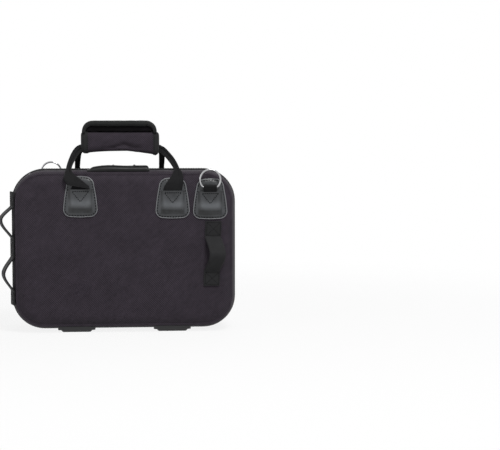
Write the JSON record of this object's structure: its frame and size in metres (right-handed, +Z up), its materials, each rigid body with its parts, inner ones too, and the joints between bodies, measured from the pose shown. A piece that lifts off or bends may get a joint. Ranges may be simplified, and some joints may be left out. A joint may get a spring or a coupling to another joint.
{
  "type": "clarinet case",
  "caption": "Soft-covered hard instrument case with a zip round its sides, a strap handle with a padded grip, rings for a shoulder strap, a front pocket and moulded feet.",
  "frame": {"origin": "on the floor, under the middle of the standing case", "axes": "+X along the case, to the right when its flat back is seen; +Y through the case towards the pocket; +Z up, towards the handle"},
  "size_m": [0.3804, 0.1772, 0.34],
  "materials": {
    "nylon": "ballistic nylon, dark charcoal",
    "shell_nylon": "ballistic nylon over stiff foam board",
    "binding": "ribbed nylon tape",
    "zip_tape": "woven zip tape",
    "zip_coil": "moulded coil",
    "plush": "short plush",
    "leather": "smooth, semi-gloss",
    "webbing": "woven nylon webbing",
    "foot_rubber": "satin moulded",
    "chrome": "polished",
    "slider_metal": "black enamel"
  },
  "bodies": {
    "back_case": {"back_shell": "shell_nylon", "back_binding": "binding", "back_zip_tape": "zip_tape", "back_zip_coil": "zip_coil", "back_hinge_strip": "nylon", "instrument_tray": "plush", "back_left_tab": "leather", "back_right_tab": "leather", "back_ring_tab": "leather", "back_strap_ends": "webbing", "back_ring_webbing": "webbing", "back_strip": "webbing", "side_strip": "webbing", "top_patch": "leather", "back_left_foot": "foot_rubber", "back_right_foot": "foot_rubber"},
    "lid": {"front_shell": "shell_nylon", "front_binding": "binding", "front_zip_tape": "zip_tape", "front_zip_coil": "zip_coil", "front_hinge_strip": "nylon", "lid_lining": "plush", "front_left_tab": "leather", "front_right_tab": "leather", "front_ring_tab": "leather", "front_strap_ends": "webbing", "front_ring_webbing": "webbing", "front_left_foot": "foot_rubber", "front_right_foot": "foot_rubber", "pocket_body": "nylon", "pocket_piping": "binding", "pocket_zip_tape": "zip_tape", "pocket_zip_coil": "zip_coil"},
    "pocket_flap": {"flap_panel": "nylon", "flap_piping": "binding", "flap_zip_tape": "zip_tape", "flap_zip_coil": "zip_coil"},
    "pocket_slider": {"pocket_slider": "slider_metal"},
    "pocket_pull": {"pocket_pull": "slider_metal"},
    "left_slider": {"left_slider": "slider_metal"},
    "right_slider": {"right_slider": "slider_metal"},
    "left_pull": {"left_pull": "slider_metal"},
    "right_pull": {"right_pull": "slider_metal"},
    "back_ring": {"back_ring": "chrome"},
    "front_ring": {"front_ring": "chrome"},
    "back_handle": {"back_strap": "webbing", "back_grip": "nylon"},
    "front_handle": {"front_strap": "webbing", "front_grip": "nylon"},
    "grip_flap": {"grip_flap": "webbing"}
  },
  "joints": [
    {"name": "lid_hinge", "type": "hinge", "parent": "back_case", "child": "lid", "pos_m": [0.00945, -0.0216, 0.0039], "axis": [-1, 0, 0], "range_deg": [0, 155]},
    {"name": "back_handle_fold", "type": "hinge", "parent": "back_case", "child": "back_handle", "pos_m": [0.00945, -0.0732, 0.23145], "axis": [1, 0, 0], "range_deg": [0, 170]},
    {"name": "front_handle_fold", "type": "hinge", "parent": "lid", "child": "front_handle", "pos_m": [0.00945, 0.022, 0.23145], "axis": [-1, 0, 0], "range_deg": [0, 130]},
    {"name": "grip_flap_open", "type": "hinge", "parent": "front_handle", "child": "grip_flap", "pos_m": [0.00945, -0.0067, 0.325], "axis": [-1, 0, 0], "range_deg": [0, 120]},
    {"name": "back_ring_swing", "type": "hinge", "parent": "back_case", "child": "back_ring", "pos_m": [0.14705, -0.0746, 0.2347], "axis": [1, 0, 0], "range_deg": [0, 175]},
    {"name": "front_ring_swing", "type": "hinge", "parent": "lid", "child": "front_ring", "pos_m": [-0.10955, 0.0234, 0.2447], "axis": [-1, 0, 0], "range_deg": [0, 175]},
    {"name": "left_slider_travel", "type": "slide", "parent": "back_case", "child": "left_slider", "axis": [-1, 0, 0], "range_m": [0, 0.088]},
    {"name": "right_slider_travel", "type": "slide", "parent": "back_case", "child": "right_slider", "axis": [1, 0, 0], "range_m": [0, 0.088]},
    {"name": "left_pull_flip", "type": "hinge", "parent": "left_slider", "child": "left_pull", "pos_m": [-0.00755, -0.0216, 0.2668], "axis": [0, 1, 0], "range_deg": [0, 110]},
    {"name": "right_pull_flip", "type": "hinge", "parent": "right_slider", "child": "right_pull", "pos_m": [0.02645, -0.0216, 0.2668], "axis": [0, -1, 0], "range_deg": [0, 110]},
    {"name": "pocket_flap_fold", "type": "hinge", "parent": "lid", "child": "pocket_flap", "pos_m": [0.00945, 0.0886, 0.0765], "axis": [-1, 0, 0], "range_deg": [0, 75]},
    {"name": "pocket_slider_travel", "type": "slide", "parent": "lid", "child": "pocket_slider", "axis": [0, 0, 1], "range_m": [0, 0.04]},
    {"name": "pocket_pull_flip", "type": "hinge", "parent": "pocket_slider", "child": "pocket_pull", "pos_m": [0.18275, 0.0506, 0.0885], "axis": [0, -1, 0], "range_deg": [0, 110]}
  ]
}
